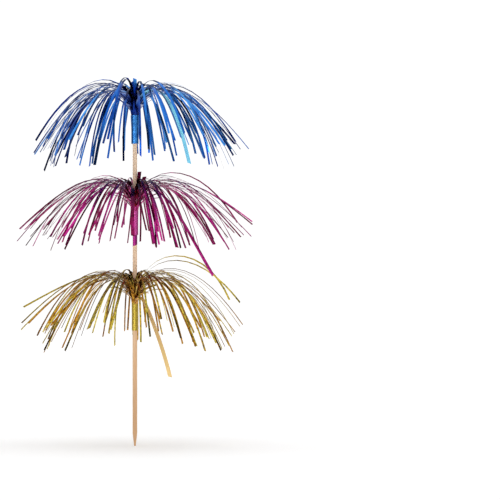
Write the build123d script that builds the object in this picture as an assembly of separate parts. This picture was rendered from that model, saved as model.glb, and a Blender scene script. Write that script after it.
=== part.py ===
from build123d import *
import math
import os
import random
from dataclasses import dataclass

# Firework drink pick in millimetres: a pointed wooden stick with three bursts of slit metallised film.
# +Z runs up the stick. The origin is at the shoulder, where the straight shank ends and the sharpened
# point begins, because the shank is what the pick is held by when it is pushed into food or foam.

# Stick
shank_diameter = 3.0
shank_length = 62.0
upper_diameter = 2.84
point_length = 8.3
tip_diameter = 1.1
stick_end_chamfer = 0.3
stick_end_below_rim = 1.5

# Places of the three bursts along the stick
shank_to_first_collar = 3.6
lower_pitch = 61.1
upper_pitch = 58.4

# Tape under the film
tape_thickness = 0.1
tape_inset = 1.2

# Film: the wound header, which is the collar, and the strands that are slit from it
film_clearance = 0.02
gold_collar_length = 18.9
magenta_collar_length = 16.6
blue_collar_length = 19.2
gold_turns_thickness = 0.12
magenta_turns_thickness = 0.18
blue_turns_thickness = 0.28
strand_thickness = 0.1
strand_width = 1.2
strand_length = 89.5
strand_length_spread_share = 0.17
strands_round_strip = 54
strand_root = 0.12
least_strand_thickness = 0.03
slot_fill_share = 0.9

# Closing wrap of each collar, its lapped end, and the film corner left hanging from the middle one
wrap_thickness = 0.1
wrap_setback = 1.0
lap_thickness = 0.06
lap_angle = 55
tail_length = 7.2
tail_root = 1.5
tail_width = 2.9
tail_cut_angle = 22
tail_facing = -85

# Shape of a strand: how gradual its bend is, the stretch of it that has most of the bend, with the even
# spans there, how far their corners are lifted off the curve, and the steps by which its height is summed up
bend_sharpness = 1.35
bend_from_share = 0.18
bend_to_share = 0.58
bend_spans = 2
corner_lift_share = 0.125
sum_steps = 60

# How uneven the strands' places are, and how much an odd strand keeps clear for each of its widths, both as
# shares of the even angle from one strand to the next
scatter_share = 0.35
odd_clear_share = 0.85
front_azimuth = -90


@dataclass
class Strip:
    """How a strip's strands leave the rim: angle from upright, its spread, and length share that bends"""

    first_place: int
    least_launch: float
    launch_spread: float
    bend_share: float


@dataclass
class Drape:
    """Last slope of a strip's strands from upright: at both sides, how much less in front, and its spread"""

    side_droop: float
    front_lift: float
    spread: float


@dataclass
class Strand:
    """One strand: azimuth from +X towards +Y, slope from upright at both ends, shares and widths of a slit"""

    azimuth: float
    launch: float
    droop: float
    bend_share: float
    length_share: float
    widths: int


@dataclass
class Burst:
    """The collar of one burst, the fall, stray loops and unslit broad strands of its two strips, and half the
    angle in front where they part"""

    name: str
    collar_length: float
    turns_thickness: float
    lap_start: float
    inner_drape: Drape
    stray_loops: tuple
    outer_drape: Drape
    broad_strands: tuple
    parting: float
    seed: int
    has_tail: bool


# The inner strip rises steeply and reaches out over the outer strip, which hangs below it
inner_strip = Strip(first_place=0, least_launch=0, launch_spread=6, bend_share=0.37)
outer_strip = Strip(first_place=1, least_launch=10, launch_spread=8, bend_share=0.33)

bursts = (
    Burst(
        name="gold",
        collar_length=gold_collar_length,
        turns_thickness=gold_turns_thickness,
        lap_start=-170,
        inner_drape=Drape(side_droop=158, front_lift=9, spread=20),
        stray_loops=(
            Strand(23, 0, 181, 0.62, 1.06, 1),
            Strand(-17, 0, 152, 0.48, 1.04, 1),
            Strand(166, 4, 118, 0.26, 0.98, 1),
        ),
        outer_drape=Drape(side_droop=147, front_lift=6, spread=24),
        broad_strands=(
            Strand(-67, 45, 130, 0.1, 0.98, 2),
            Strand(-113, 14, 133, 0.3, 0.96, 2),
        ),
        parting=4,
        seed=3,
        has_tail=False,
    ),
    Burst(
        name="magenta",
        collar_length=magenta_collar_length,
        turns_thickness=magenta_turns_thickness,
        lap_start=-60,
        inner_drape=Drape(side_droop=153, front_lift=3, spread=22),
        stray_loops=(
            Strand(15, 0, 154, 0.44, 1.04, 1),
            Strand(171, 3, 133, 0.31, 1.07, 1),
        ),
        outer_drape=Drape(side_droop=138, front_lift=0, spread=20),
        broad_strands=(
            Strand(-47, 12, 144, 0.22, 1.1, 2),
            Strand(-90, 14, 138, 0.32, 0.96, 2),
        ),
        parting=0,
        seed=5,
        has_tail=True,
    ),
    Burst(
        name="blue",
        collar_length=blue_collar_length,
        turns_thickness=blue_turns_thickness,
        lap_start=-50,
        inner_drape=Drape(side_droop=163, front_lift=12, spread=26),
        stray_loops=(
            Strand(-103, 0, 219, 0.56, 1.06, 1),
        ),
        outer_drape=Drape(side_droop=151, front_lift=8, spread=24),
        broad_strands=(
            Strand(-52, 10, 163, 0.34, 1, 3),
            Strand(-114, 14, 160, 0.32, 0.97, 2),
            Strand(-134, 12, 153, 0.32, 0.98, 2),
        ),
        parting=6,
        seed=7,
        has_tail=False,
    ),
)


def make_stick():
    """Turned skewer: blunt point, straight shank, slightly thinner above it, with a chamfered top end"""
    outline = [
        (0, 0, -point_length),
        (tip_diameter / 2, 0, -point_length),
        (shank_diameter / 2, 0, 0),
        (shank_diameter / 2, 0, shank_length),
        (upper_diameter / 2, 0, gold_base),
        (upper_diameter / 2, 0, stick_top - stick_end_chamfer),
        (upper_diameter / 2 - stick_end_chamfer, 0, stick_top),
        (0, 0, stick_top),
    ]
    return revolve(make_face(Polyline(*outline, close=True)), Axis.Z)


def sleeve(base, length, radius, wall, arc=360, start=0):
    """A rolled layer of film or tape outside a radius, all the way round or over an arc"""
    outline = [
        (radius, 0, base),
        (radius + wall, 0, base),
        (radius + wall, 0, base + length),
        (radius, 0, base + length),
    ]
    profile = make_face(Polyline(*outline, close=True))
    return revolve(profile, Axis.Z, revolution_arc=arc).rotate(Axis.Z, start)


def strand_line(radius, height, length, launch, droop, bend_share):
    """Radius and height of points along a strand that rises from its collar, bends over and hangs"""
    bend_length = bend_to_share - bend_from_share
    shares = [bend_from_share + bend_length * span / bend_spans for span in range(bend_spans + 1)] + [1]
    points = [(radius, height - strand_root)]
    step = length / sum_steps
    for count in range(sum_steps):
        turned = 1 - math.exp(-(((count + 0.5) / sum_steps / bend_share) ** bend_sharpness))
        slope = math.radians(launch + (droop - launch) * turned)
        radius += step * math.sin(slope)
        height += step * math.cos(slope)
        if count + 1 == round(shares[0] * sum_steps):
            points.append((radius, height))
            shares.pop(0)
    line = [Vector(radius, 0, height) for radius, height in points]
    for index in range(1, len(points) - 1):
        chord_middle = (line[index - 1] + line[index + 1]) / 2
        lifted = line[index] + (line[index] - chord_middle) * corner_lift_share
        points[index] = (lifted.X, lifted.Z)
    return points


def ribbon(line, azimuth, width, half_slot):
    """A ribbon of three sides, flat above and creased below, that stays in its own sector round the stick"""
    sections = []
    for index, (radius, height) in enumerate(line):
        before = line[max(index - 1, 0)]
        after = line[min(index + 1, len(line) - 1)]
        along = Vector(after[0] - before[0], 0, after[1] - before[1]).normalized()
        half = min(width / 2, radius * math.tan(half_slot))
        thickness = max(least_strand_thickness, strand_thickness * half / (width / 2))
        upper_side = Vector(-along.Z, 0, along.X) * thickness / 2
        half_width = Vector(0, half, 0)
        middle = Vector(radius, 0, height)
        corners = (middle - upper_side, middle + upper_side - half_width, middle + upper_side + half_width)
        sections.append(Wire.make_polygon(corners, close=True))
    return Solid.make_loft(sections, ruled=True).rotate(Axis.Z, azimuth)


def apart(azimuth, other):
    """Angle between two azimuths"""
    return abs((other - azimuth + 180) % 360 - 180)


def half_sector(strand, others):
    """Half the angle that a strand may take up round the stick, shared with its neighbours by width"""
    room = []
    for other in others:
        if other is not strand:
            share = strand.widths / (strand.widths + other.widths)
            room.append(apart(strand.azimuth, other.azimuth) * share)
    return math.radians(min(room) * slot_fill_share)


def plain_strands(strip, drape, seed, parting, odd_strands):
    """The strands of a strip in every second place round the stick, without the parting and odd ones' places"""
    chance = random.Random(seed)
    spacing = 180 / strands_round_strip
    strands = []
    for place in range(strip.first_place, 2 * strands_round_strip, 2):
        azimuth = spacing * (place + scatter_share * (chance.random() - 0.5))
        launch = strip.least_launch + strip.launch_spread * chance.random()
        droop = drape.side_droop - drape.front_lift * math.sin(math.radians(azimuth)) ** 2
        droop += drape.spread * (chance.random() - 0.5)
        length_share = 1 + strand_length_spread_share * (chance.random() - 0.5)
        plain = Strand(azimuth, launch, droop, strip.bend_share, length_share, 1)
        clear = [apart(azimuth, front_azimuth) > parting]
        for odd in odd_strands:
            clear.append(apart(azimuth, odd.azimuth) > spacing * odd_clear_share * (1 + odd.widths) / 2)
        if all(clear):
            strands.append(plain)
    return strands


def fringe(base, length, radius, wall, strands, all_strands):
    """One wound strip of film: its unslit header rolled round the stick, and its strands in one fuse"""
    header = sleeve(base, length, radius, wall)
    rim = base + length
    middle = radius + wall / 2
    ribbons = []
    for one in strands:
        line = strand_line(middle, rim, strand_length * one.length_share, one.launch, one.droop, one.bend_share)
        ribbons.append(ribbon(line, one.azimuth, strand_width * one.widths, half_sector(one, all_strands)))
    return header.solid().fuse(*ribbons)


def tail(base, radius):
    """Unslit corner of the film that hangs from the collar along the stick, cut off at a slant"""
    arc = math.degrees(tail_width / radius)
    start = tail_facing - arc / 2
    strip = sleeve(base - tail_length, tail_length + tail_root, radius, wrap_thickness, arc, start)
    low_corner = Vector(radius, 0, 0).rotate(Axis.Z, start + arc)
    slant = Plane(origin=low_corner + Vector(0, 0, base - tail_length), z_dir=(0, 0, 1))
    return split(strip, bisect_by=slant.rotated((0, -tail_cut_angle, 0)), keep=Keep.TOP)


def make_burst(burst, base):
    """Tape, inner strip, outer strip and closing wrap of one burst, each a node of its own"""
    length = burst.collar_length
    wall = burst.turns_thickness
    radius = upper_diameter / 2 + film_clearance
    tape = sleeve(base + tape_inset, length - 2 * tape_inset, radius, tape_thickness)

    odd_strands = burst.stray_loops + burst.broad_strands
    inner_strands = plain_strands(inner_strip, burst.inner_drape, burst.seed, burst.parting, odd_strands)
    inner_strands += burst.stray_loops
    outer_strands = plain_strands(outer_strip, burst.outer_drape, burst.seed + 1, burst.parting, odd_strands)
    outer_strands += burst.broad_strands
    all_strands = inner_strands + outer_strands

    radius += tape_thickness + film_clearance
    inner = fringe(base, length, radius, wall, inner_strands, all_strands)
    radius += wall + film_clearance
    outer = fringe(base, length, radius, wall, outer_strands, all_strands)

    radius += wall + film_clearance
    wrap = sleeve(base, length - wrap_setback, radius, wrap_thickness)
    lap_wall = wrap_thickness / 2 + lap_thickness
    lap_radius = radius + wrap_thickness / 2
    wrap += sleeve(base, length - wrap_setback, lap_radius, lap_wall, lap_angle, burst.lap_start)
    if burst.has_tail:
        wrap += tail(base, lap_radius)
    return {
        f"{burst.name}_tape": tape,
        f"{burst.name}_inner_fringe": inner,
        f"{burst.name}_outer_fringe": outer,
        f"{burst.name}_collar_wrap": wrap,
    }


gold_base = shank_length + shank_to_first_collar
magenta_base = gold_base + lower_pitch
blue_base = magenta_base + upper_pitch
stick_top = blue_base + blue_collar_length - stick_end_below_rim

nodes = {"stick": make_stick()}
for burst, base in zip(bursts, (gold_base, magenta_base, blue_base)):
    nodes.update(make_burst(burst, base))

os.makedirs("parts", exist_ok=True)
for name, solid in nodes.items():
    export_step(solid, f"parts/{name}.step")
    print(f"{name}: {len(solid.solids())} solid, {solid.volume:.1f} mm3, {len(solid.faces())} faces")
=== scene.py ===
import math
import random
from dataclasses import dataclass

import bpy
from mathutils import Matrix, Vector


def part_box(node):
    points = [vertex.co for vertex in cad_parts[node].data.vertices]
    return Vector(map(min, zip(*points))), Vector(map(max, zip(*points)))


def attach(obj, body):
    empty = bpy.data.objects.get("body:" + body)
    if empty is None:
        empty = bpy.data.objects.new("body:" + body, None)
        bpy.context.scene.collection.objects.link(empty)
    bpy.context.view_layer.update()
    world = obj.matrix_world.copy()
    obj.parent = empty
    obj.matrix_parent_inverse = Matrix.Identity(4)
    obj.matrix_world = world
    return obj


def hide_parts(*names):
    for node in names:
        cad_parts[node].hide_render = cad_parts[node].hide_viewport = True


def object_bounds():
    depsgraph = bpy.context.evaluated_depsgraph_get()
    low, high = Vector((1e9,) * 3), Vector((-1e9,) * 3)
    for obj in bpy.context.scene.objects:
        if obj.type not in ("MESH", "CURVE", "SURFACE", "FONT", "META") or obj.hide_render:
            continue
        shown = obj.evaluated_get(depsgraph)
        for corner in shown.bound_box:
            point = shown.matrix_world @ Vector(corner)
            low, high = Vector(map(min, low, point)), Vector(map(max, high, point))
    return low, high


# Firework drink pick in metres, in the frame of its solids: +Z runs up the stick from the shoulder of its
# point, and -Y faces the camera. The stick and the tape keep their solids, and the film gets detailed pieces.

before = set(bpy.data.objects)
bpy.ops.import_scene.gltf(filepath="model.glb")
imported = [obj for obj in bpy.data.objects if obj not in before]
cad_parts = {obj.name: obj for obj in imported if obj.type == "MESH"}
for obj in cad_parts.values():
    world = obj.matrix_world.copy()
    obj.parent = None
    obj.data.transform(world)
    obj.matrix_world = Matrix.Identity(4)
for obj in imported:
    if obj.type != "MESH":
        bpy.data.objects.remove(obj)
cad_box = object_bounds()

MM = 0.001

# Photograph: its scale, the column of the stick's axis and the row of the shoulder of its point
PIXEL = 0.64 * MM
IMAGE_SIDE = 500
AXIS_COLUMN = 134.9
SHOULDER_ROW = 433.0

# Camera: far off and level, with its lens and sensor in millimetres
CAMERA_DISTANCE = 1778 * MM
LENS = 200
SENSOR = 36

# Layers round the stick
FIRST_FILM_RADIUS = 1.56 * MM
FILM_CLEARANCE = 0.02 * MM
FILM_THICKNESS = 0.07 * MM
GOLD_TURNS_THICKNESS = 0.12 * MM
MAGENTA_TURNS_THICKNESS = 0.18 * MM
BLUE_TURNS_THICKNESS = 0.28 * MM
TAPE_INSET = 1.2 * MM

# Strands, with their lengths and places as in the solids
STRAND_WIDTH = 1.2 * MM
STRAND_LENGTH = 89.5 * MM
STRAND_LENGTH_SPREAD_SHARE = 0.17
STRANDS_ROUND_STRIP = 54
SCATTER_SHARE = 0.35
ODD_CLEAR_SHARE = 0.85
FRONT_AZIMUTH = -90
BEND_SHARPNESS = 1.35
CURVE_STEPS = 60

# Mesh of a strand: its spans, how they crowd near the rim, the depth of its root and its smooth shading
STRAND_SEGMENTS = 15
STATION_CROWDING = 1.25
ROOT_DEPTH = 2.2 * MM
SMOOTH_ANGLE = 40

# How a strand lies: its sway and roll in degrees, how they grow along it, and the slant of its cut end
SWAY_SPREAD = 1.8
SWAY_GROWTH = 2
LEAST_ROLL = 8
MOST_ROLL = 48
ROLL_GROWTH = 0.8
MOST_SLANT_SHARE = 0.7

# Distance between the seeds of two bursts
SEED_STEP = 10

# Torn short strands: ranges of their slopes from upright, their roll and their length
SHORT_LAUNCHES = (16, 32)
SHORT_DROOPS = (50, 110)
MOST_SHORT_ROLL = 50
SHORT_BEND_SHARE = 0.6
SHORT_LENGTH_SHARES = (0.14, 0.23)
# Share of the painted shade above the rim that short strands skip
SHORT_PAINTED_SHADE_SKIP_SHARE = 0.231

# The stretch of film above the rim where the strands are packed is painted dark as their shade, fading out
# between these distances
PAINTED_SHADE_FROM = 9 * MM
PAINTED_SHADE_TO = 26 * MM

# Strands of different tints take their patterns from stretches of film this far apart
PATTERN_SHIFT = 7300 * MM

# Wound header of a strip
HEADER_TURNS = 2
HEADER_COLUMNS = 72
HEADER_ROWS = 4
ROLLED_TINT = 0.5

# Collar: the closing wrap, its lapped end, the spread of its upper edge and the slight waves of tight film
WRAP_SETBACK = 1.0 * MM
WRAP_CLEARANCE = 0.06 * MM
WRAP_COLUMNS = 80
WRAP_ROWS = 24
LAP_ANGLE = 55
LAP_RISE = 0.11 * MM
GOLD_FLARE = 0.1 * MM
MAGENTA_FLARE = 0.15 * MM
BLUE_FLARE = 0.4 * MM
FLARE_FROM_SHARE = 0.45
WAVE_HEIGHT = 0.006 * MM

# Waves of a collar: how often each goes round it, its phase from the lower to the upper edge, height share
WAVE_SHARES = ((3, 4, 1), (7, -6, 0.6), (1, 11, 0.5))

# Unslit corner of film that hangs from the middle collar
TAIL_LENGTH = 7.2 * MM
TAIL_ROOT = 1.5 * MM
TAIL_CLEARANCE = 0.12 * MM
TAIL_CUT_RISE = 1.105 * MM
TAIL_TURNS = 0.24
TAIL_START = -128
TAIL_COLUMNS = 10
TAIL_ROWS = 12
TAIL_TINT = -0.3

# Crinkles of the film, from soft gold to blue, which is drawn the smoothest
CRINKLE_WIDTH = 1.5 * MM
GOLD_CRINKLE_DEPTH = 0.3 * MM
GOLD_CRINKLE_LENGTH = 3 * MM
MAGENTA_CRINKLE_DEPTH = 0.08 * MM
MAGENTA_CRINKLE_LENGTH = 6 * MM
BLUE_CRINKLE_DEPTH = 0.05 * MM
BLUE_CRINKLE_LENGTH = 9 * MM
TIGHT_CRINKLE_DEPTH = 0.003 * MM
TIGHT_CRINKLE_LENGTH = 14 * MM

# The Mix node's sockets, which can't be told apart by name
COLOUR_A = 6
COLOUR_B = 7
COLOUR_OUT = 2
VALUE_A = 2
VALUE_B = 3


@dataclass
class Strip:
    """Which places a strip's strands take, and how they leave the rim: slope from upright, its spread, and
    the share of their length that bends"""

    first_place: int
    least_launch: float
    launch_spread: float
    bend_share: float


@dataclass
class Drape:
    """Last slope of a strip's strands from upright: at both sides, how much less in front, and its spread"""

    side_droop: float
    front_lift: float
    spread: float


@dataclass
class Strand:
    """One strand: azimuth, slope from upright at both ends, share of its length that bends, its length as a
    share of the usual one and its width in slits. An odd one also has the tint and roll that were seen, and
    the share of the painted shade above the rim that it skips"""

    azimuth: float
    launch: float
    droop: float
    bend_share: float
    length_share: float
    widths: int
    tint: float = None
    roll: float = None
    painted_shade_skip_share: float = 0


@dataclass
class Lie:
    """How a strand lies: sway and roll in degrees, tint, and slant of its cut end as a share of its width"""

    sway: float
    roll: float
    tint: float
    slant_share: float


@dataclass
class Roll:
    """A film wound round the stick: where its lower edge starts, its size, and how its outline departs from
    a cylinder by growth over its turns, flare, waves and a slanted cut"""

    base: float
    length: float
    radius: float
    turns: float
    growth: float
    columns: int
    rows: int
    from_root: float
    start: float = 0
    flare: float = 0
    waves: float = 0
    cut_rise: float = 0
    tint: float = ROLLED_TINT


@dataclass
class Film:
    """A film's finish: its tones in the painted shade above the rim and where open, its crinkles, and how
    dark its painted reflection flecks are
    """

    name: str
    painted_shade_tones: tuple
    tones: tuple
    roughness: float
    crinkle_depth: float
    crinkle_length: float
    painted_reflection_share: float


@dataclass
class Burst:
    """One burst of film: its collar, the fall and odd strands of its two strips, what fills its middle, half
    the angle in front where its strands part, and the film that it is slit from"""

    name: str
    turns_thickness: float
    flare: float
    lap_start: float
    inner_drape: Drape
    stray_loops: tuple
    outer_drape: Drape
    broad_strands: tuple
    stubs: tuple
    clump: tuple
    short_count: int
    width_share: float
    parting: float
    seed: int
    has_tail: bool
    film: Film
    collar_tones: tuple


@dataclass
class SoftBox:
    """A soft light: bearing from the camera and half width in degrees, middle and half span of the rise of
    its direction, and brightness"""

    bearing: float
    half_width: float
    rise: float
    half_rise: float
    brightness: float


# The inner strip rises steeply and reaches out over the outer strip, which hangs below it
INNER_STRIP = Strip(first_place=0, least_launch=0, launch_spread=6, bend_share=0.37)
OUTER_STRIP = Strip(first_place=1, least_launch=10, launch_spread=8, bend_share=0.33)

BURSTS = (
    Burst(
        name="blue",
        turns_thickness=BLUE_TURNS_THICKNESS,
        flare=BLUE_FLARE,
        lap_start=-50,
        inner_drape=Drape(side_droop=163, front_lift=12, spread=26),
        stray_loops=(
            Strand(-103, 0, 219, 0.56, 1.06, 1, 0.6, 20),
        ),
        outer_drape=Drape(side_droop=151, front_lift=8, spread=24),
        broad_strands=(
            # This broad strand's tint above 1 paints a pale highlight on it
            Strand(-52, 10, 163, 0.34, 1, 3, 1.45, -15),
            Strand(-114, 14, 160, 0.32, 0.97, 2, 0.5, 15),
            Strand(-134, 12, 153, 0.32, 0.98, 2, 0.3, 15),
        ),
        stubs=(
            Strand(-86, 0, 6, 0.5, 0.25, 2, 0.8, 10, 0.615),
            Strand(-112, 2, 14, 0.5, 0.23, 1, 0.3, 30),
            Strand(-70, 2, 20, 0.5, 0.19, 1, 0.3, -30),
        ),
        clump=(
            Strand(-124, 11, 158, 0.34, 1, 1, 0.6, 22),
            Strand(-121, 12, 160, 0.33, 1.04, 1, 0.8, 14),
            Strand(-118.5, 12, 160, 0.33, 1.06, 1, 0.35, 26),
            Strand(-116.5, 11, 160, 0.33, 1.02, 1, 0.7, 16),
        ),
        short_count=10,
        width_share=1.2,
        parting=6,
        seed=7,
        has_tail=False,
        film=Film(
            name="blue metallised polyester",
            painted_shade_tones=("050E40", "1C42A6"),
            tones=("081C6C", "1850A6", "286ABE", "4894D8", "8AE6FF"),
            roughness=0.16,
            crinkle_depth=BLUE_CRINKLE_DEPTH,
            crinkle_length=BLUE_CRINKLE_LENGTH,
            painted_reflection_share=0.15,
        ),
        collar_tones=("1E5898", "2E6CAC", "4082C0", "5294CC", "60A0D6"),
    ),
    Burst(
        name="magenta",
        turns_thickness=MAGENTA_TURNS_THICKNESS,
        flare=MAGENTA_FLARE,
        lap_start=-60,
        inner_drape=Drape(side_droop=153, front_lift=3, spread=22),
        stray_loops=(
            Strand(15, 0, 154, 0.44, 1.04, 1, 0.8, -50),
            Strand(171, 3, 133, 0.31, 1.07, 1, 0.3, 50),
        ),
        outer_drape=Drape(side_droop=138, front_lift=0, spread=20),
        broad_strands=(
            Strand(-47, 12, 144, 0.22, 1.1, 2, 0.8, 10, 0.231),
            Strand(-90, 14, 138, 0.32, 0.96, 2, 0.3, 0),
        ),
        stubs=(
            Strand(-52, 2, 14, 0.5, 0.27, 2, 0.1, -38, 0.231),
            Strand(-32, 6, 22, 0.5, 0.24, 2, 0.2, -50, 0.231),
        ),
        clump=(
            Strand(-75, 13, 141, 0.3, 0.97, 1, 0.85, 8),
            Strand(-73, 12, 140, 0.31, 0.98, 1, 0.95, -10),
            Strand(-70, 13, 139, 0.3, 0.96, 1, 0.75, 6),
        ),
        short_count=26,
        width_share=0.95,
        parting=0,
        seed=5,
        has_tail=True,
        film=Film(
            name="magenta metallised polyester",
            painted_shade_tones=("74122E", "D84A9C"),
            tones=("4A0A26", "7E1448", "A01C72", "C2308E", "DC54AC"),
            roughness=0.18,
            crinkle_depth=MAGENTA_CRINKLE_DEPTH,
            crinkle_length=MAGENTA_CRINKLE_LENGTH,
            painted_reflection_share=0.45,
        ),
        collar_tones=("7C2060", "B44A8E", "BE5498", "C860A2", "D06CAC"),
    ),
    Burst(
        name="gold",
        turns_thickness=GOLD_TURNS_THICKNESS,
        flare=GOLD_FLARE,
        lap_start=-170,
        inner_drape=Drape(side_droop=158, front_lift=9, spread=20),
        stray_loops=(
            Strand(23, 0, 181, 0.62, 1.06, 1, 0.9, -60),
            Strand(-17, 0, 152, 0.48, 1.04, 1, 0.8, 45),
            Strand(166, 4, 118, 0.26, 0.98, 1, 0.7, 60),
        ),
        outer_drape=Drape(side_droop=147, front_lift=6, spread=24),
        broad_strands=(
            # This broad strand's tint above 1 paints a pale highlight on it
            Strand(-67, 45, 130, 0.1, 0.98, 2, 1.9, 25, 0.346),
            Strand(-113, 14, 133, 0.3, 0.96, 2, 0.6, 10),
        ),
        stubs=(
            Strand(-84, 2, 25, 0.5, 0.17, 1, 0.9, 10, 0.769),
        ),
        clump=(),
        short_count=22,
        width_share=1,
        parting=4,
        seed=3,
        has_tail=False,
        film=Film(
            name="gold metallised polyester",
            painted_shade_tones=("6E3A0C", "DCA038"),
            tones=("84560F", "C48C2C", "B4A23A", "E6CE5C", "FFDC94"),
            roughness=0.18,
            crinkle_depth=GOLD_CRINKLE_DEPTH,
            crinkle_length=GOLD_CRINKLE_LENGTH,
            painted_reflection_share=0.52,
        ),
        collar_tones=("A08E36", "AC983C", "B49E44", "C2AE54", "CCB85E"),
    ),
)

# Studio: a broad box behind the camera, a bright one to its left, one high on the right and two far round
SOFT_BOXES = (
    SoftBox(bearing=0, half_width=60, rise=0, half_rise=0.24, brightness=1.7),
    SoftBox(bearing=-28, half_width=16, rise=0.02, half_rise=0.24, brightness=3.4),
    SoftBox(bearing=84, half_width=9, rise=0.5, half_rise=0.2, brightness=5),
    SoftBox(bearing=-110, half_width=14, rise=0.3, half_rise=0.4, brightness=1.2),
    SoftBox(bearing=120, half_width=20, rise=0.3, half_rise=0.4, brightness=0.8),
)
SIDE_EDGE_SHARES = (0.75, 1.25)
LEVEL_EDGE_SHARES = (0.8, 1.1)
ROOM_GLOW = 0.07
CEILING_RISES = (0.66, 0.84)
CEILING_BRIGHTNESS = 1.3
BACKDROP_DEPTHS = (0.45, 0.7)
BACKDROP_BRIGHTNESS = 0.22
SEEN_BRIGHTNESS = 1.05
FLOOR_SIDE = 6000 * MM


def hex_colour(text):
    """A hex sRGB colour as linear values with full opacity"""
    channels = [int(text[start:start + 2], 16) / 255 for start in (0, 2, 4)]
    linear = [value / 12.92 if value <= 0.04045 else ((value + 0.055) / 1.055) ** 2.4 for value in channels]
    return (*linear, 1.0)


def add_node(tree, kind, inputs=None, **settings):
    """Adds a node; each input is a plain value or the socket that feeds it"""
    made = tree.nodes.new(kind)
    for name, value in settings.items():
        setattr(made, name, value)
    for socket, value in (inputs or {}).items():
        if isinstance(value, bpy.types.NodeSocket):
            tree.links.new(value, made.inputs[socket])
        else:
            made.inputs[socket].default_value = value
    return made


def set_stops(ramp, shares, tones):
    """Sets a ramp's stops, the first and the last on the two that it comes with"""
    elements = ramp.color_ramp.elements
    elements[0].position = shares[0]
    elements[-1].position = shares[-1]
    for share in shares[1:-1]:
        elements.new(share)
    for element, tone in zip(elements, tones):
        element.color = hex_colour(tone)


def new_material(name):
    """An empty node material and its tree"""
    material = bpy.data.materials.new(name)
    material.use_nodes = True
    material.node_tree.nodes.clear()
    return material, material.node_tree


def deselect_all():
    """Leaves nothing selected, so that an operator acts on its own piece alone"""
    bpy.ops.object.select_all(action="DESELECT")


def pick_out(piece):
    """Selects one piece alone and makes it active"""
    deselect_all()
    piece.select_set(True)
    bpy.context.view_layer.objects.active = piece


def add_flat_grid(name, columns, rows):
    """A flat sheet, one unit each way and centred on the origin, with its own UV map"""
    deselect_all()
    bpy.ops.mesh.primitive_grid_add(x_subdivisions=columns, y_subdivisions=rows, size=1)
    sheet = bpy.context.active_object
    sheet.name = name
    return sheet


def copy_of(blank, name):
    """A copy of a piece with its own mesh"""
    copied = blank.copy()
    copied.data = blank.data.copy()
    copied.name = name
    bpy.context.scene.collection.objects.link(copied)
    return copied


def join_pieces(pieces, name):
    """Joins pieces into the first of them"""
    deselect_all()
    for piece in pieces:
        piece.select_set(True)
    bpy.context.view_layer.objects.active = pieces[0]
    bpy.ops.object.join()
    joined = bpy.context.active_object
    joined.name = name
    return joined


def give_film_thickness(piece):
    """Turns the sheets of a piece into film, half of its thickness to each side, with smooth shading"""
    pick_out(piece)
    solidify = piece.modifiers.new("film thickness", "SOLIDIFY")
    solidify.thickness = FILM_THICKNESS
    solidify.offset = 0
    bpy.ops.object.modifier_apply(modifier=solidify.name)
    bpy.ops.object.shade_smooth_by_angle(angle=math.radians(SMOOTH_ANGLE))


def lay_pattern(mesh, places, tint, from_roots):
    """Lays a film's UV map, in metres along and across it, and stores its tint and distances from the rim"""
    layer = mesh.uv_layers.active
    for loop in mesh.loops:
        layer.data[loop.index].uv = places[loop.vertex_index]
    for name, values in (("strand_tint", [tint] * len(places)), ("from_root", from_roots)):
        attribute = mesh.attributes.new(name, "FLOAT", "POINT")
        attribute.data.foreach_set("value", values)


def finish_piece(piece, material, node):
    """Gives a piece its material and puts it on the pick in place of a solid"""
    piece.data.materials.clear()
    piece.data.materials.append(material)
    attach(piece, "root")
    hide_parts(node)


def strand_curve(radius, height, length, strand):
    """Radius and height at even steps along a strand that rises, bends over and hangs"""
    points = [(radius, height)]
    step = length / CURVE_STEPS
    for index in range(CURVE_STEPS):
        share = (index + 0.5) / CURVE_STEPS
        turned = 1 - math.exp(-((share / strand.bend_share) ** BEND_SHARPNESS))
        slope = math.radians(strand.launch + (strand.droop - strand.launch) * turned)
        radius += step * math.sin(slope)
        height += step * math.cos(slope)
        points.append((radius, height))
    return points


def strand_stations(curve, azimuth, sway):
    """Spots along a strand, closer together near the rim, each with its azimuth in radians and its share"""
    stations = []
    for index in range(STRAND_SEGMENTS + 1):
        share = (index / STRAND_SEGMENTS) ** STATION_CROWDING
        place = share * CURVE_STEPS
        step = min(int(place), CURVE_STEPS - 1)
        near, far = curve[step], curve[step + 1]
        radius = near[0] + (far[0] - near[0]) * (place - step)
        height = near[1] + (far[1] - near[1]) * (place - step)
        turn = math.radians(azimuth) + math.radians(sway) * share ** SWAY_GROWTH
        stations.append((Vector((radius * math.cos(turn), radius * math.sin(turn), height)), turn, share))
    root, turn, share = stations[0]
    stations[0] = (root - Vector((0, 0, ROOT_DEPTH)), turn, share)
    return stations


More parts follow.
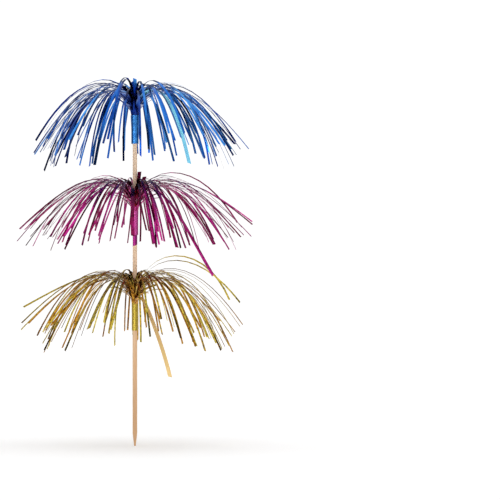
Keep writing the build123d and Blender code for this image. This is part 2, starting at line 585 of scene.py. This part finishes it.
def bend_strand(blank, strand, curve, width, lie):
    """A copy of the flat blank laid along a strand's curve and rolled about its own length"""
    stations = strand_stations(curve, strand.azimuth, lie.sway)
    frames = []
    walked = 0
    for index, (spot, turn, share) in enumerate(stations):
        before = stations[max(index - 1, 0)][0]
        after = stations[min(index + 1, STRAND_SEGMENTS)][0]
        along = (after - before).normalized()
        sideways = Vector((-math.sin(turn), math.cos(turn), 0))
        sideways = (sideways - along * sideways.dot(along)).normalized()
        angle = math.radians(lie.roll) * share ** ROLL_GROWTH
        across = sideways * math.cos(angle) + along.cross(sideways) * math.sin(angle)
        walked += (spot - before).length
        frames.append((spot, along, across, walked))

    bent = copy_of(blank, "strand")
    places = []
    from_roots = []
    for vertex in bent.data.vertices:
        station = round((vertex.co.x + 0.5) * STRAND_SEGMENTS)
        spot, along, across, walked = frames[station]
        offset = vertex.co.y * width
        slant = lie.slant_share * offset if station == STRAND_SEGMENTS else 0
        vertex.co = spot + across * offset + along * slant
        places.append((walked + lie.tint * PATTERN_SHIFT, offset))
        # Distance from the rim, which sets how dark the painted shade of the film is there
        from_roots.append(walked + strand.painted_shade_skip_share * PAINTED_SHADE_TO)
    lay_pattern(bent.data, places, lie.tint, from_roots)
    return bent


def apart(azimuth, other):
    """Angle between two azimuths in degrees"""
    return abs((other - azimuth + 180) % 360 - 180)


def plain_strands(strip, drape, seed, parting, odd_strands):
    """A strip's strands in every second place round the stick, but for the parting and odd ones' places"""
    chance = random.Random(seed)
    spacing = 180 / STRANDS_ROUND_STRIP
    strands = []
    for place in range(strip.first_place, 2 * STRANDS_ROUND_STRIP, 2):
        azimuth = spacing * (place + SCATTER_SHARE * (chance.random() - 0.5))
        launch = strip.least_launch + strip.launch_spread * chance.random()
        droop = drape.side_droop - drape.front_lift * math.sin(math.radians(azimuth)) ** 2
        droop += drape.spread * (chance.random() - 0.5)
        length_share = 1 + STRAND_LENGTH_SPREAD_SHARE * (chance.random() - 0.5)
        clear = [apart(azimuth, FRONT_AZIMUTH) > parting]
        for odd in odd_strands:
            clear.append(apart(azimuth, odd.azimuth) > spacing * ODD_CLEAR_SHARE * (1 + odd.widths) / 2)
        if all(clear):
            strands.append(Strand(azimuth, launch, droop, strip.bend_share, length_share, 1))
    return strands


def short_strands(count, seed):
    """Torn short strands that stand off from the rim all round and fill the middle of a burst"""
    chance = random.Random(seed)
    strands = []
    for index in range(count):
        azimuth = (index + chance.random()) * 360 / count
        launch = chance.uniform(*SHORT_LAUNCHES)
        droop = chance.uniform(*SHORT_DROOPS)
        roll = chance.uniform(-MOST_SHORT_ROLL, MOST_SHORT_ROLL)
        length_share = chance.uniform(*SHORT_LENGTH_SHARES)
        tint = chance.random()
        strands.append(Strand(
            azimuth, launch, droop, SHORT_BEND_SHARE, length_share, 1, tint, roll, SHORT_PAINTED_SHADE_SKIP_SHARE
        ))
    return strands


def draw_lie(chance, strand):
    """How a strand lies, by chance, but for the tint and roll that were seen on an odd one"""
    sway = chance.gauss(0, SWAY_SPREAD)
    roll = chance.choice((-1, 1)) * chance.uniform(LEAST_ROLL, MOST_ROLL)
    tint = chance.random()
    slant_share = chance.uniform(-MOST_SLANT_SHARE, MOST_SLANT_SHARE)
    if strand.tint is not None:
        return Lie(sway, strand.roll, strand.tint, slant_share)
    return Lie(sway, roll, tint, slant_share)


def make_strands(name, radius, rim, strands, width_share, seed):
    """All strands of one strip of a burst, as one piece"""
    chance = random.Random(seed)
    blank = add_flat_grid("flat strand", STRAND_SEGMENTS, 1)
    bent = []
    for strand in strands:
        curve = strand_curve(radius, rim, STRAND_LENGTH * strand.length_share, strand)
        width = STRAND_WIDTH * (width_share if strand.widths == 1 else strand.widths)
        bent.append(bend_strand(blank, strand, curve, width, draw_lie(chance, strand)))
    bpy.data.objects.remove(blank)
    return join_pieces(bent, name)


def smoothstep(value):
    """Eases from 0 to 1"""
    value = min(max(value, 0), 1)
    return value * value * (3 - 2 * value)


def roll_sheet(name, roll):
    """A sheet of film rolled round the stick"""
    sheet = add_flat_grid(name, roll.columns, roll.rows)
    chance = random.Random(name)
    phases = [chance.uniform(0, 2 * math.pi) for _ in WAVE_SHARES]
    places = []
    for vertex in sheet.data.vertices:
        along = vertex.co.x + 0.5
        up = vertex.co.y + 0.5
        wound = along * roll.turns * 2 * math.pi
        angle = math.radians(roll.start) + wound
        ripple = 0
        for (rounds, rise, share), phase in zip(WAVE_SHARES, phases):
            ripple += share * math.sin(rounds * angle + rise * up + phase)
        spread = smoothstep((up - FLARE_FROM_SHARE) / (1 - FLARE_FROM_SHARE))
        out = roll.radius + roll.growth * along + roll.flare * spread + roll.waves * ripple
        height = roll.base + up * roll.length + roll.cut_rise * along * (1 - up)
        vertex.co = (out * math.cos(angle), out * math.sin(angle), height)
        places.append((wound * roll.radius, up * roll.length))
    lay_pattern(sheet.data, places, roll.tint, [roll.from_root] * len(places))
    return sheet


def birch():
    """Turned birch: pale, with fine brown grain lines up the stick and a dry matt surface"""
    grain_width = 0.36 * MM
    grain_length = 16.7 * MM
    grain_depth = 0.05 * MM
    grain_shares = (0.30, 0.62)
    patch_width = 3.3 * MM
    patch_length = 33 * MM
    # Painted shade: heights between which the darker lower end of the stick fades out
    painted_shade_by_height_from = 10 * MM
    painted_shade_by_height_to = 130 * MM

    material, tree = new_material("turned birch")
    place = add_node(tree, "ShaderNodeTexCoord")
    stretch = add_node(
        tree, "ShaderNodeMapping",
        {"Vector": place.outputs["Object"], "Scale": (1 / grain_width, 1 / grain_width, 1 / grain_length)},
    )
    grain = add_node(
        tree, "ShaderNodeTexNoise",
        {"Vector": stretch.outputs[0], "Scale": 1.0, "Detail": 3.0, "Roughness": 0.6},
    )
    shade = add_node(tree, "ShaderNodeValToRGB", {"Fac": grain.outputs["Fac"]})
    set_stops(shade, grain_shares, ("FCD2A2", "FFE0BA"))
    # Broad warm and pale patches
    drift = add_node(
        tree, "ShaderNodeMapping",
        {"Vector": place.outputs["Object"], "Scale": (1 / patch_width, 1 / patch_width, 1 / patch_length)},
    )
    patches = add_node(tree, "ShaderNodeTexNoise", {"Vector": drift.outputs[0], "Scale": 1.0, "Detail": 1.0})
    warm = add_node(
        tree, "ShaderNodeMix",
        {"Factor": patches.outputs["Fac"], COLOUR_A: shade.outputs["Color"], COLOUR_B: hex_colour("FFE2C4")},
        data_type="RGBA",
    )
    # Painted shade: the stick is painted darker and browner towards its lower end, for the light that falls
    # off down it
    spot = add_node(tree, "ShaderNodeSeparateXYZ", {"Vector": place.outputs["Object"]})
    height = add_node(
        tree, "ShaderNodeMapRange",
        {"Value": spot.outputs["Z"], "From Min": painted_shade_by_height_from, "From Max": painted_shade_by_height_to},
    )
    painted_shade_by_height = add_node(
        tree, "ShaderNodeMix",
        {"Factor": height.outputs[0], COLOUR_A: hex_colour("D0BCA6"), COLOUR_B: hex_colour("FFFFFF")},
        data_type="RGBA",
    )
    wood = add_node(
        tree, "ShaderNodeMix",
        {"Factor": 1.0, COLOUR_A: warm.outputs[COLOUR_OUT], COLOUR_B: painted_shade_by_height.outputs[COLOUR_OUT]},
        data_type="RGBA", blend_type="MULTIPLY",
    )
    bump = add_node(
        tree, "ShaderNodeBump", {"Height": grain.outputs["Fac"], "Strength": 0.25, "Distance": grain_depth}
    )
    surface = add_node(
        tree, "ShaderNodeBsdfPrincipled",
        {
            "Base Color": wood.outputs[COLOUR_OUT], "Roughness": 0.62, "IOR": 1.5,
            "Normal": bump.outputs["Normal"],
        },
    )
    add_node(tree, "ShaderNodeOutputMaterial", {"Surface": surface.outputs["BSDF"]})
    return material


def clear_tape():
    """Clear polypropylene tape: glossy, faintly yellow, with the fine rings of its winding"""
    ring_height = 0.67 * MM
    ring_length = 8.3 * MM
    ring_depth = 0.02 * MM

    material, tree = new_material("clear polypropylene tape")
    place = add_node(tree, "ShaderNodeTexCoord")
    rings = add_node(
        tree, "ShaderNodeMapping",
        {"Vector": place.outputs["Object"], "Scale": (1 / ring_length, 1 / ring_length, 1 / ring_height)},
    )
    winding = add_node(tree, "ShaderNodeTexNoise", {"Vector": rings.outputs[0], "Scale": 1.0, "Detail": 1.0})
    shade = add_node(tree, "ShaderNodeValToRGB", {"Fac": winding.outputs["Fac"]})
    set_stops(shade, (0, 1), ("E5DCC0", "F3EEDC"))
    bump = add_node(
        tree, "ShaderNodeBump", {"Height": winding.outputs["Fac"], "Strength": 0.15, "Distance": ring_depth}
    )
    surface = add_node(
        tree, "ShaderNodeBsdfPrincipled",
        {
            "Base Color": shade.outputs["Color"], "Roughness": 0.22, "IOR": 1.49,
            "Normal": bump.outputs["Normal"],
        },
    )
    add_node(tree, "ShaderNodeOutputMaterial", {"Surface": surface.outputs["BSDF"]})
    return material


def metallised_film(film):
    """Metallised polyester film under a coloured lacquer: a tinted mirror, with soft crinkles along it"""
    tone_length = 12.5 * MM
    tone_width = 3.3 * MM
    fleck_length = 100 * MM / 42
    fleck_width = 2 * MM
    tone_shares = (0.25, 0.42, 0.58, 0.8, 1)
    painted_sheen_tints = (1, 1.5)
    painted_sheen_strength_share = 0.15
    painted_sheen_metal_share = 0.25
    fleck_shares = (0.38, 0.52)
    painted_shade_shares = (0.42, 0.6)

    material, tree = new_material(film.name)
    place = add_node(tree, "ShaderNodeUVMap")
    tint = add_node(tree, "ShaderNodeAttribute", attribute_name="strand_tint")
    root = add_node(tree, "ShaderNodeAttribute", attribute_name="from_root")
    stretch = add_node(
        tree, "ShaderNodeMapping",
        {"Vector": place.outputs["UV"], "Scale": (1 / film.crinkle_length, 1 / CRINKLE_WIDTH, 1)},
    )
    crinkles = add_node(
        tree, "ShaderNodeTexNoise",
        {"Vector": stretch.outputs[0], "Scale": 1.0, "Detail": 2.0, "Roughness": 0.5},
    )
    # The lacquer's tone differs by strand and drifts along it
    drift = add_node(
        tree, "ShaderNodeMapping",
        {"Vector": place.outputs["UV"], "Scale": (1 / tone_length, 1 / tone_width, 1)},
    )
    tone = add_node(tree, "ShaderNodeTexNoise", {"Vector": drift.outputs[0], "Scale": 1.0, "Detail": 1.0})
    both = add_node(
        tree, "ShaderNodeMath", {0: tone.outputs["Fac"], 1: tint.outputs["Fac"]}, operation="ADD"
    )
    half = add_node(tree, "ShaderNodeMath", {0: both.outputs[0], 1: 0.5}, operation="MULTIPLY")
    ramp = add_node(tree, "ShaderNodeValToRGB", {"Fac": half.outputs[0]})
    set_stops(ramp, tone_shares, film.tones)
    # Painted highlight: a strand with a tint above 1 is drawn smooth, less metallic and in the palest tones,
    # which paints in the broad light caught on it
    painted_sheen = add_node(
        tree, "ShaderNodeMapRange",
        {"Value": tint.outputs["Fac"], "From Min": painted_sheen_tints[0], "From Max": painted_sheen_tints[1]},
    )
    # Painted reflection: dark flecks, 42 of them in 100 mm, painted into the colour for the dark reflections
    # of crumpled film
    fleck = add_node(
        tree, "ShaderNodeMapping",
        {
            "Vector": place.outputs["UV"], "Scale": (1 / fleck_length, 1 / fleck_width, 1),
            "Location": (7, 3, 0),
        },
    )
    flecks = add_node(tree, "ShaderNodeTexNoise", {"Vector": fleck.outputs[0], "Scale": 1.0, "Detail": 1.0})
    clear = add_node(
        tree, "ShaderNodeMath", {0: flecks.outputs["Fac"], 1: painted_sheen.outputs[0]}, operation="ADD"
    )
    painted_reflection_mottle = add_node(
        tree, "ShaderNodeMapRange",
        {
            "Value": clear.outputs[0], "From Min": fleck_shares[0], "From Max": fleck_shares[1],
            "To Min": 1 - film.painted_reflection_share,
        },
        interpolation_type="SMOOTHSTEP",
    )
    # Painted shade: just above the rim, where the strands are packed, the film is painted much darker, in
    # patches
    painted_shade_patches = add_node(
        tree, "ShaderNodeMapRange",
        {"Value": crinkles.outputs["Fac"], "From Min": painted_shade_shares[0], "From Max": painted_shade_shares[1]},
    )
    painted_shade = add_node(
        tree, "ShaderNodeMix",
        {
            "Factor": painted_shade_patches.outputs[0], COLOUR_A: hex_colour(film.painted_shade_tones[0]),
            COLOUR_B: hex_colour(film.painted_shade_tones[1]),
        },
        data_type="RGBA",
    )
    past_painted_shade = add_node(
        tree, "ShaderNodeMapRange",
        {"Value": root.outputs["Fac"], "From Min": PAINTED_SHADE_FROM, "From Max": PAINTED_SHADE_TO},
        interpolation_type="SMOOTHSTEP",
    )
    toned = add_node(
        tree, "ShaderNodeMix",
        {"Factor": past_painted_shade.outputs[0], COLOUR_A: painted_shade.outputs[COLOUR_OUT], COLOUR_B: ramp.outputs["Color"]},
        data_type="RGBA",
    )
    shaded = add_node(
        tree, "ShaderNodeMix",
        {"Factor": 1.0, COLOUR_A: toned.outputs[COLOUR_OUT], COLOUR_B: painted_reflection_mottle.outputs[0]},
        data_type="RGBA", blend_type="MULTIPLY",
    )
    strength = add_node(
        tree, "ShaderNodeMapRange", {"Value": painted_sheen.outputs[0], "To Min": 1.0, "To Max": painted_sheen_strength_share}
    )
    bump = add_node(
        tree, "ShaderNodeBump",
        {"Height": crinkles.outputs["Fac"], "Strength": strength.outputs[0], "Distance": film.crinkle_depth},
    )
    metal = add_node(
        tree, "ShaderNodeMapRange", {"Value": painted_sheen.outputs[0], "To Min": 1.0, "To Max": painted_sheen_metal_share}
    )
    surface = add_node(
        tree, "ShaderNodeBsdfPrincipled",
        {
            "Base Color": shaded.outputs[COLOUR_OUT], "Metallic": metal.outputs[0],
            "Roughness": film.roughness, "Normal": bump.outputs["Normal"],
        },
    )
    add_node(tree, "ShaderNodeOutputMaterial", {"Surface": surface.outputs["BSDF"]})
    return material


def tight_film(burst):
    """The film of a burst where it is drawn tight round the stick: hardly crinkled, and a little duller"""
    return metallised_film(Film(
        name=f"{burst.name} film drawn tight",
        painted_shade_tones=burst.film.painted_shade_tones,
        tones=burst.collar_tones,
        roughness=0.22,
        crinkle_depth=TIGHT_CRINKLE_DEPTH,
        crinkle_length=TIGHT_CRINKLE_LENGTH,
        painted_reflection_share=0,
    ))


def floor_paint():
    """Matt white painted board, lit a little by itself so that it meets the white behind it"""
    material, tree = new_material("matt white board")
    surface = add_node(
        tree, "ShaderNodeBsdfPrincipled",
        {
            "Base Color": hex_colour("F6F6F6"), "Roughness": 0.9,
            "Emission Color": hex_colour("FFFFFF"), "Emission Strength": 0.25,
        },
    )
    add_node(tree, "ShaderNodeOutputMaterial", {"Surface": surface.outputs["BSDF"]})
    return material


def add_camera():
    """Level camera that puts the shoulder of the point at its row and column of the photograph"""
    across = (IMAGE_SIDE / 2 - AXIS_COLUMN) * PIXEL
    up = (SHOULDER_ROW - IMAGE_SIDE / 2) * PIXEL
    level = (math.radians(90), 0, 0)
    bpy.ops.object.camera_add(location=(across, -CAMERA_DISTANCE, up), rotation=level)
    camera = bpy.context.active_object
    camera.data.lens = LENS
    camera.data.sensor_width = SENSOR
    bpy.context.scene.camera = camera


def soft_band(sky, value, middle, half, edge_shares):
    """1 where a value is near the middle one, easing to 0 between two shares of the half width"""
    away = add_node(sky, "ShaderNodeMath", {0: value, 1: middle}, operation="SUBTRACT")
    away = add_node(sky, "ShaderNodeMath", {0: away.outputs[0]}, operation="ABSOLUTE")
    band = add_node(
        sky, "ShaderNodeMapRange",
        {
            "Value": away.outputs[0], "From Min": half * edge_shares[0], "From Max": half * edge_shares[1],
            "To Min": 1.0, "To Max": 0.0,
        },
        interpolation_type="SMOOTHSTEP",
    )
    return band.outputs[0]


def add_studio_light():
    """Soft boxes, a bright ceiling and a dim backdrop round the pick, while the camera sees plain white"""
    world = bpy.data.worlds.new("studio")
    bpy.context.scene.world = world
    world.use_nodes = True
    sky = world.node_tree
    sky.nodes.clear()
    facing = add_node(sky, "ShaderNodeTexCoord")
    parts = add_node(sky, "ShaderNodeSeparateXYZ", {"Vector": facing.outputs["Generated"]})
    to_camera = add_node(sky, "ShaderNodeMath", {0: parts.outputs["Y"], 1: -1.0}, operation="MULTIPLY")
    bearing = add_node(
        sky, "ShaderNodeMath", {0: parts.outputs["X"], 1: to_camera.outputs[0]}, operation="ARCTAN2"
    )
    total = ROOM_GLOW
    for box in SOFT_BOXES:
        middle = math.radians(box.bearing)
        beside = soft_band(sky, bearing.outputs[0], middle, math.radians(box.half_width), SIDE_EDGE_SHARES)
        level = soft_band(sky, parts.outputs["Z"], box.rise, box.half_rise, LEVEL_EDGE_SHARES)
        lit = add_node(sky, "ShaderNodeMath", {0: beside, 1: level}, operation="MULTIPLY")
        lit = add_node(sky, "ShaderNodeMath", {0: lit.outputs[0], 1: box.brightness}, operation="MULTIPLY")
        total = add_node(sky, "ShaderNodeMath", {0: total, 1: lit.outputs[0]}, operation="ADD").outputs[0]
    for side, (start, end), brightness in (
        ("Z", CEILING_RISES, CEILING_BRIGHTNESS),
        ("Y", BACKDROP_DEPTHS, BACKDROP_BRIGHTNESS),
    ):
        lit = add_node(
            sky, "ShaderNodeMapRange",
            {"Value": parts.outputs[side], "From Min": start, "From Max": end, "To Max": brightness},
            interpolation_type="SMOOTHSTEP",
        )
        total = add_node(sky, "ShaderNodeMath", {0: total, 1: lit.outputs[0]}, operation="ADD").outputs[0]
    ray = add_node(sky, "ShaderNodeLightPath")
    seen = add_node(
        sky, "ShaderNodeMix",
        {"Factor": ray.outputs["Is Camera Ray"], VALUE_A: total, VALUE_B: SEEN_BRIGHTNESS},
        data_type="FLOAT",
    )
    background = add_node(sky, "ShaderNodeBackground", {"Color": (1, 1, 1, 1), "Strength": seen.outputs[0]})
    add_node(sky, "ShaderNodeOutputWorld", {"Surface": background.outputs[0]})
    bpy.context.scene.view_settings.view_transform = "Standard"


def add_floor():
    """Plain pale floor that the point stands on"""
    deselect_all()
    bpy.ops.mesh.primitive_plane_add(size=FLOOR_SIDE, location=(0, 0, cad_box[0][2]))
    floor = bpy.context.active_object
    floor.name = "floor"
    floor.data.materials.append(floor_paint())


def dress_stick_and_tape():
    """Gives the solids that stay their materials"""
    tape = clear_tape()
    materials = {"stick": birch(), "gold_tape": tape, "magenta_tape": tape, "blue_tape": tape}
    for name, material in materials.items():
        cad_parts[name].data.materials.clear()
        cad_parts[name].data.materials.append(material)


def make_strip(burst, strip, base, rim, radius, strands, seed, film):
    """One wound strip of film: its strands, and its header rolled round the stick below the rim"""
    name = f"{burst.name}_{strip}_strands"
    wall = burst.turns_thickness
    slit = make_strands(name, radius + wall / 2, rim, strands, burst.width_share, seed)
    header = roll_sheet("wound header", Roll(
        base=base,
        length=rim - base,
        radius=radius + FILM_THICKNESS / 2,
        turns=HEADER_TURNS,
        growth=wall - FILM_THICKNESS,
        columns=HEADER_COLUMNS,
        rows=HEADER_ROWS,
        # The wound header is painted wholly in the dark painted shade
        from_root=PAINTED_SHADE_FROM,
    ))
    wound = join_pieces([slit, header], name)
    give_film_thickness(wound)
    finish_piece(wound, film, f"{burst.name}_{strip}_fringe")


def make_tail(base, radius):
    """Unslit corner of the film that hangs from the collar along the stick, cut off at a slant"""
    return roll_sheet("hanging corner", Roll(
        base=base - TAIL_LENGTH,
        length=TAIL_LENGTH + TAIL_ROOT,
        radius=radius + TAIL_CLEARANCE,
        turns=TAIL_TURNS,
        growth=0,
        columns=TAIL_COLUMNS,
        rows=TAIL_ROWS,
        from_root=PAINTED_SHADE_TO,
        start=TAIL_START,
        cut_rise=TAIL_CUT_RISE,
        tint=TAIL_TINT,
    ))


def make_collar(burst, base, rim, radius):
    """Closing wrap of plain film that laps over itself, with the hanging corner of the middle one"""
    name = f"{burst.name}_collar"
    collar = roll_sheet(name, Roll(
        base=base,
        length=rim - base - WRAP_SETBACK,
        radius=radius + WRAP_CLEARANCE,
        turns=1 + LAP_ANGLE / 360,
        growth=LAP_RISE,
        columns=WRAP_COLUMNS,
        rows=WRAP_ROWS,
        from_root=PAINTED_SHADE_TO,
        start=burst.lap_start,
        flare=burst.flare,
        waves=WAVE_HEIGHT,
    ))
    if burst.has_tail:
        collar = join_pieces([collar, make_tail(base, radius)], name)
    give_film_thickness(collar)
    finish_piece(collar, tight_film(burst), f"{burst.name}_collar_wrap")


def make_burst(burst, number):
    """Inner strip, outer strip and collar of one burst, round the tape that holds them"""
    tape_low, tape_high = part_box(f"{burst.name}_tape")
    base = tape_low.z - TAPE_INSET
    rim = tape_high.z + TAPE_INSET
    film = metallised_film(burst.film)
    odd_strands = burst.stray_loops + burst.broad_strands

    inner_strands = plain_strands(INNER_STRIP, burst.inner_drape, burst.seed, burst.parting, odd_strands)
    inner_strands += burst.stray_loops + burst.stubs
    inner_strands += short_strands(burst.short_count, seed=number)
    inner_strands += burst.clump
    outer_strands = plain_strands(OUTER_STRIP, burst.outer_drape, burst.seed + 1, burst.parting, odd_strands)
    outer_strands += burst.broad_strands

    radius = FIRST_FILM_RADIUS
    for strip, strands in (("inner", inner_strands), ("outer", outer_strands)):
        seed = SEED_STEP * number + (strip == "outer")
        make_strip(burst, strip, base, rim, radius, strands, seed, film)
        radius += burst.turns_thickness + FILM_CLEARANCE
    make_collar(burst, base, rim, radius)


add_camera()
add_studio_light()
add_floor()
dress_stick_and_tape()
for number, burst in enumerate(BURSTS):
    make_burst(burst, number)
